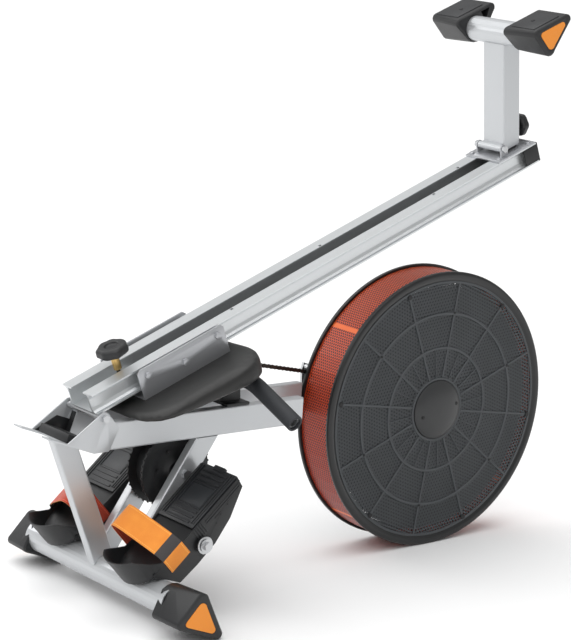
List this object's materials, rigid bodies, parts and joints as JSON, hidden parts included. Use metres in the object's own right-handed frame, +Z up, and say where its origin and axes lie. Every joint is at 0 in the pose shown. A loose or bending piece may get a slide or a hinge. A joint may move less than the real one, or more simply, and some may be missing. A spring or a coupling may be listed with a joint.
{
  "type": "rowing machine",
  "caption": "Folding air rowing machine, stored with its seat rail folded over the beam: caged fan, silver frame, sliding seat, pivoting foot rests with orange straps, chain and pull handle.",
  "frame": {"origin": "on the floor under the middle of the bounding box, stored pose", "axes": "+X towards the fan and the raised end of the folded rail, +Y across the machine, +Z up"},
  "size_m": [1.2065, 0.5688, 1.0776],
  "materials": {
    "silver_paint": "satin",
    "anodised_aluminium": "satin",
    "zinc_steel": "satin",
    "black_plastic": "matte",
    "charcoal_plastic": "matte",
    "black_foam": "matte",
    "seat_moulding": "matte",
    "orange_mesh": "satin",
    "amber_insert": "satin",
    "orange_webbing": "matte",
    "dark_chain": "satin"
  },
  "bodies": {
    "frame": {"base_tube": "silver_paint", "front_leg": "silver_paint", "near_strut": "silver_paint", "far_strut": "silver_paint", "near_beam": "silver_paint", "far_beam": "silver_paint", "fold_bracket": "silver_paint", "hinge_bolt": "zinc_steel", "fan_arm": "zinc_steel", "fan_axle": "zinc_steel", "reel_axle": "zinc_steel", "pedal_axle": "zinc_steel", "near_base_cap": "black_plastic", "far_base_cap": "black_plastic", "near_beam_plug": "black_plastic", "far_beam_plug": "black_plastic", "handle_cradle": "black_plastic", "near_cage_ring": "black_plastic", "far_cage_ring": "black_plastic", "near_hub_cover": "black_plastic", "far_hub_cover": "black_plastic", "near_cage_face": "charcoal_plastic", "far_cage_face": "charcoal_plastic", "cage_band": "orange_mesh", "near_base_insert": "amber_insert", "far_base_insert": "amber_insert", "drive_chain": "dark_chain"},
    "rail": {"rail": "anodised_aluminium", "rail_end_cap": "black_plastic", "rail_hinge_leaf": "zinc_steel", "rear_hinge_plate": "zinc_steel", "rear_hinge_bolt": "zinc_steel"},
    "carriage": {"carriage_bracket": "zinc_steel", "seat_pad": "seat_moulding"},
    "rail_knob": {"rail_lock_knob": "black_plastic"},
    "leg_knob": {"leg_lock_knob": "black_plastic"},
    "rear_leg": {"rear_post": "silver_paint", "rear_foot_tube": "silver_paint", "near_rear_cap": "black_plastic", "far_rear_cap": "black_plastic", "near_rear_insert": "amber_insert", "far_rear_insert": "amber_insert"},
    "fan": {"fan_wheel": "black_plastic"},
    "sprocket": {"fan_sprocket": "zinc_steel"},
    "reel": {"recoil_reel": "black_plastic"},
    "handle": {"handle_bar": "zinc_steel", "near_grip": "black_foam", "far_grip": "black_foam"},
    "near_foot_rest": {"near_pedal": "black_plastic", "near_strap": "orange_webbing"},
    "far_foot_rest": {"far_pedal": "black_plastic", "far_strap": "orange_webbing"},
    "near_sole_plate": {"near_footplate": "charcoal_plastic"},
    "far_sole_plate": {"far_footplate": "charcoal_plastic"},
    "near_wheel_1": {"near_roller_1": "charcoal_plastic"},
    "far_wheel_1": {"far_roller_1": "charcoal_plastic"},
    "near_wheel_2": {"near_roller_2": "charcoal_plastic"},
    "far_wheel_2": {"far_roller_2": "charcoal_plastic"},
    "near_wheel_3": {"near_roller_3": "charcoal_plastic"},
    "far_wheel_3": {"far_roller_3": "charcoal_plastic"}
  },
  "joints": [
    {"name": "rail_fold", "type": "hinge", "parent": "frame", "child": "rail", "pos_m": [-0.48736, 0, 0.36714], "axis": [0, -1, 0], "range_deg": [0, 137.5]},
    {"name": "seat_slide", "type": "slide", "parent": "rail", "child": "carriage", "axis": [0.9352, 0, 0.3541], "range_m": [0, 0.78]},
    {"name": "near_wheel_1_spin", "type": "hinge", "parent": "carriage", "child": "near_wheel_1", "pos_m": [-0.39728, -0.048, 0.43706], "axis": [0, -1, 0], "continuous": true},
    {"name": "far_wheel_1_spin", "type": "hinge", "parent": "carriage", "child": "far_wheel_1", "pos_m": [-0.39728, 0.048, 0.43706], "axis": [0, -1, 0], "continuous": true},
    {"name": "near_wheel_2_spin", "type": "hinge", "parent": "carriage", "child": "near_wheel_2", "pos_m": [-0.31564, -0.048, 0.453], "axis": [0, -1, 0], "continuous": true},
    {"name": "far_wheel_2_spin", "type": "hinge", "parent": "carriage", "child": "far_wheel_2", "pos_m": [-0.31564, 0.048, 0.453], "axis": [0, -1, 0], "continuous": true},
    {"name": "near_wheel_3_spin", "type": "hinge", "parent": "carriage", "child": "near_wheel_3", "pos_m": [-0.24391, -0.048, 0.49513], "axis": [0, -1, 0], "continuous": true},
    {"name": "far_wheel_3_spin", "type": "hinge", "parent": "carriage", "child": "far_wheel_3", "pos_m": [-0.24391, 0.048, 0.49513], "axis": [0, -1, 0], "continuous": true},
    {"name": "rail_knob_turn", "type": "hinge", "parent": "rail", "child": "rail_knob", "pos_m": [-0.43538, 0, 0.47557], "axis": [-0.3541, 0, 0.9352], "continuous": true},
    {"name": "leg_knob_turn", "type": "hinge", "parent": "rail", "child": "leg_knob", "pos_m": [0.54168, 0, 0.83831], "axis": [0.9958, 0, 0.0913], "continuous": true},
    {"name": "rear_leg_fold", "type": "hinge", "parent": "rail", "child": "rear_leg", "pos_m": [0.46821, 0, 0.79736], "axis": [0, -1, 0], "range_deg": [0, 100]},
    {"name": "fan_spin", "type": "hinge", "parent": "frame", "child": "fan", "pos_m": [0.3235, 0, 0.28], "axis": [0, 1, 0], "continuous": true},
    {"name": "sprocket_spin", "type": "hinge", "parent": "frame", "child": "sprocket", "pos_m": [0.3235, 0.02, 0.28], "axis": [0, 1, 0], "continuous": true},
    {"name": "reel_spin", "type": "hinge", "parent": "frame", "child": "reel", "pos_m": [-0.30086, 0, 0.23648], "axis": [0, 1, 0], "continuous": true},
    {"name": "handle_swing", "type": "hinge", "parent": "frame", "child": "handle", "pos_m": [-0.17907, 0, 0.40551], "axis": [0, -1, 0], "range_deg": [0, 90]},
    {"name": "near_pedal_tilt", "type": "hinge", "parent": "frame", "child": "near_foot_rest", "pos_m": [-0.35, -0.1275, 0.14503], "axis": [0, 1, 0], "range_deg": [0, 30]},
    {"name": "near_plate_slide", "type": "slide", "parent": "near_foot_rest", "child": "near_sole_plate", "axis": [0.7554, 0, 0.6552], "range_m": [0, 0.03]},
    {"name": "far_pedal_tilt", "type": "hinge", "parent": "frame", "child": "far_foot_rest", "pos_m": [-0.35, 0.1275, 0.14503], "axis": [0, 1, 0], "range_deg": [0, 30]},
    {"name": "far_plate_slide", "type": "slide", "parent": "far_foot_rest", "child": "far_sole_plate", "axis": [0.7554, 0, 0.6552], "range_m": [0, 0.03]}
  ],
  "couplings": [
    {"joint": "near_wheel_1_spin", "follows": "seat_slide", "rad_per_m": 100},
    {"joint": "far_wheel_1_spin", "follows": "seat_slide", "rad_per_m": 100},
    {"joint": "near_wheel_2_spin", "follows": "seat_slide", "rad_per_m": -100},
    {"joint": "far_wheel_2_spin", "follows": "seat_slide", "rad_per_m": -100},
    {"joint": "near_wheel_3_spin", "follows": "seat_slide", "rad_per_m": 100},
    {"joint": "far_wheel_3_spin", "follows": "seat_slide", "rad_per_m": 100},
    {"joint": "reel_spin", "follows": "sprocket_spin", "ratio": -0.46117}
  ]
}
